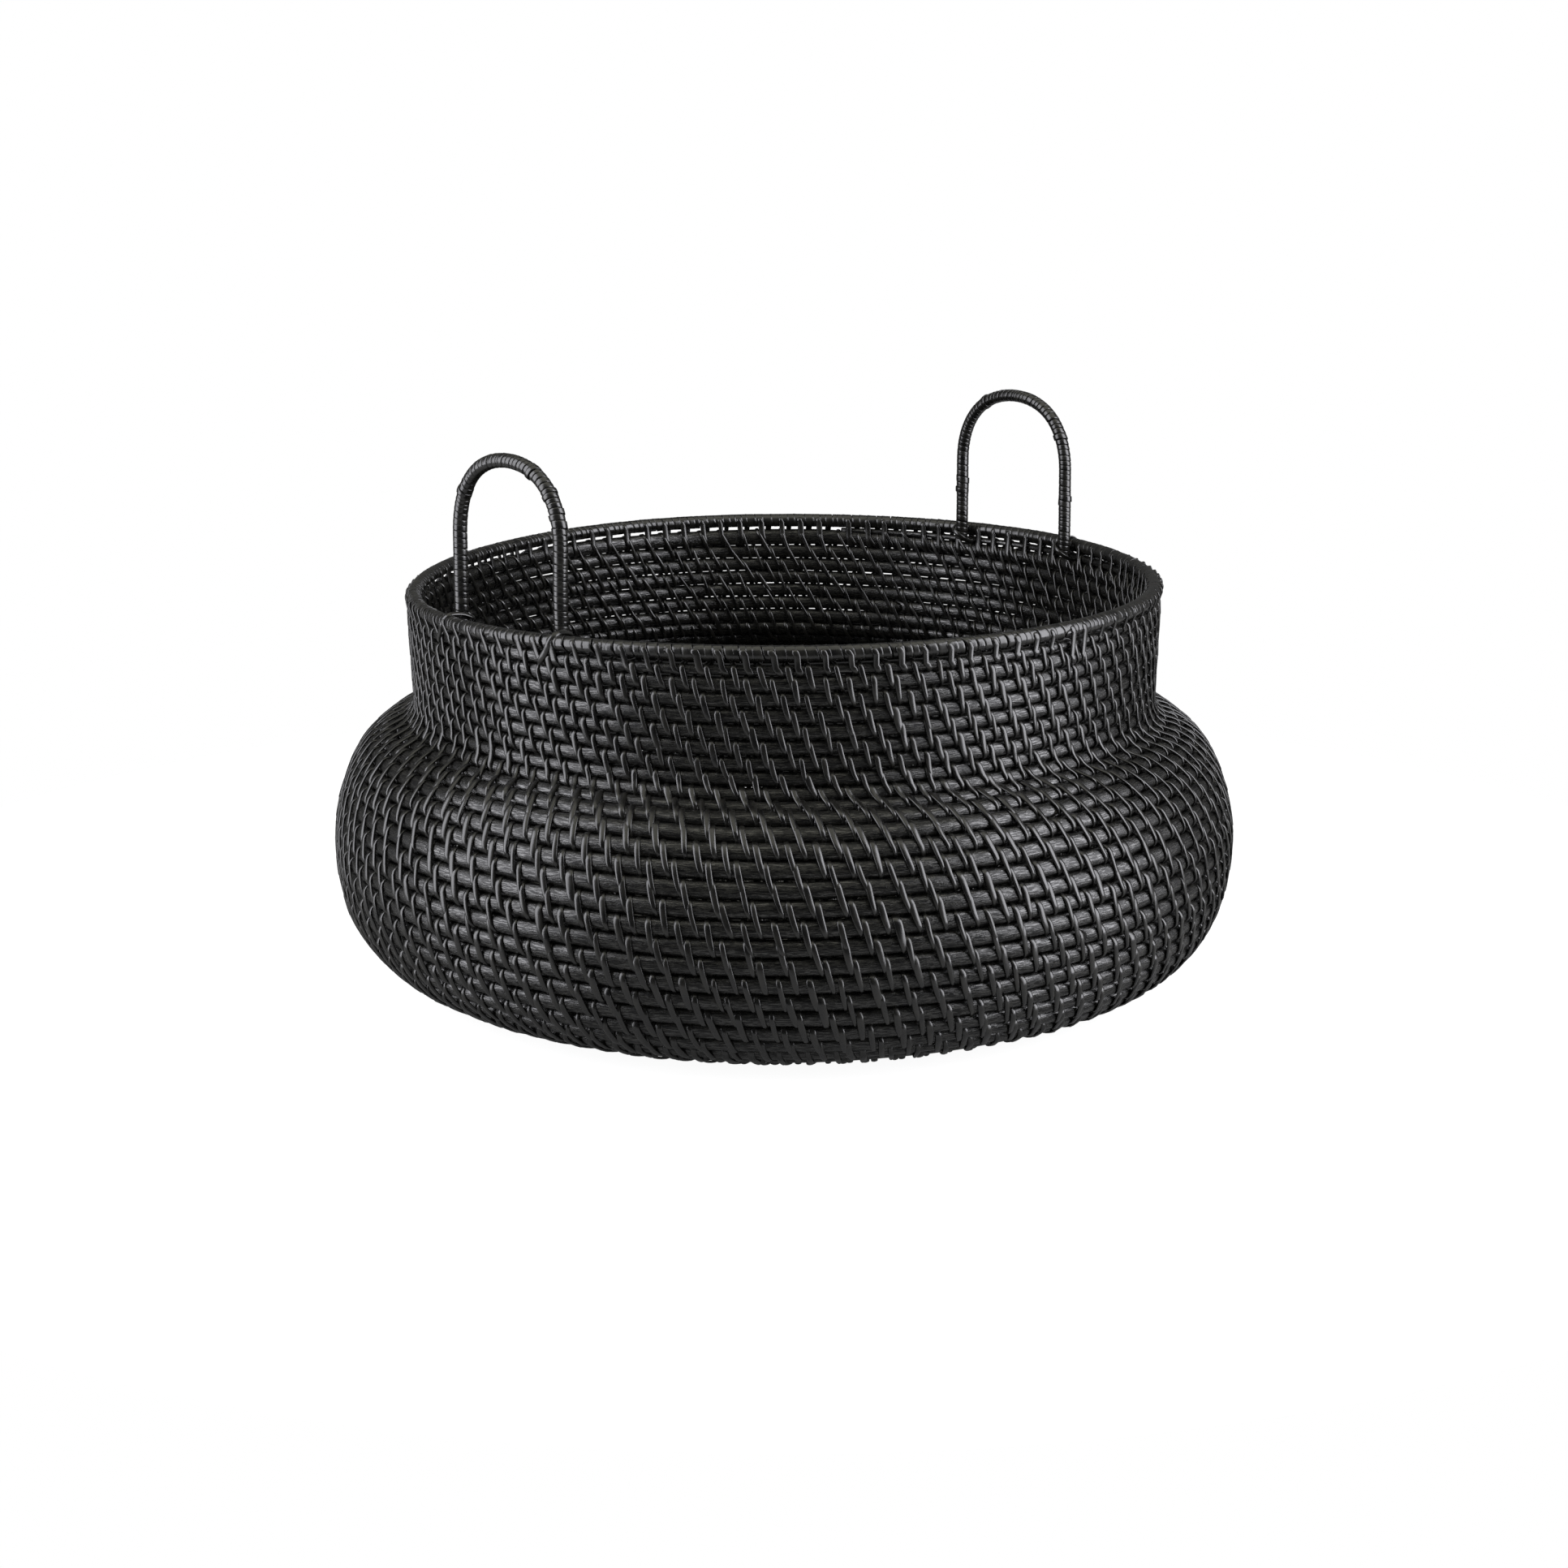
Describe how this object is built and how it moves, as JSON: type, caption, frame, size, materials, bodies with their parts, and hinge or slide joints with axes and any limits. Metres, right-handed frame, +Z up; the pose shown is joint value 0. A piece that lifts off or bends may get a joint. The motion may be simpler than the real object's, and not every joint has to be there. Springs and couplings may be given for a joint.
{
  "type": "woven wicker basket",
  "caption": "Round coiled rattan basket with a wide low belly, a narrower upright neck, a wrapped rim and two fixed arched handles.",
  "frame": {"origin": "middle of the underside, on the plane that the basket stands on", "axes": "+Z up; the two handles stand on the X axis, the right one at +X, and their arches lie square to X"},
  "size_m": [0.5764, 0.5764, 0.3457],
  "materials": {
    "cane": "black stained rattan core, satin, with long open grain",
    "peel": "black stained rattan peel, smooth, half gloss"
  },
  "bodies": {
    "root": {"centre_curl": "cane", "base_cane_1": "cane", "base_cane_2": "cane", "base_cane_3": "cane", "base_cane_4": "cane", "wall_cane_01": "cane", "wall_cane_02": "cane", "wall_cane_03": "cane", "wall_cane_04": "cane", "wall_cane_05": "cane", "wall_cane_06": "cane", "wall_cane_07": "cane", "wall_cane_08": "cane", "wall_cane_09": "cane", "wall_cane_10": "cane", "wall_cane_11": "cane", "wall_cane_12": "cane", "rim_cane": "cane", "right_handle_cane": "cane", "left_handle_cane": "cane", "rim_wrap_1": "peel", "rim_wrap_2": "peel", "rim_wrap_3": "peel", "rim_wrap_4": "peel", "right_handle_wrap": "peel", "right_lashing_1": "peel", "right_lashing_2": "peel", "left_handle_wrap": "peel", "left_lashing_1": "peel", "left_lashing_2": "peel"}
  },
  "joints": []
}
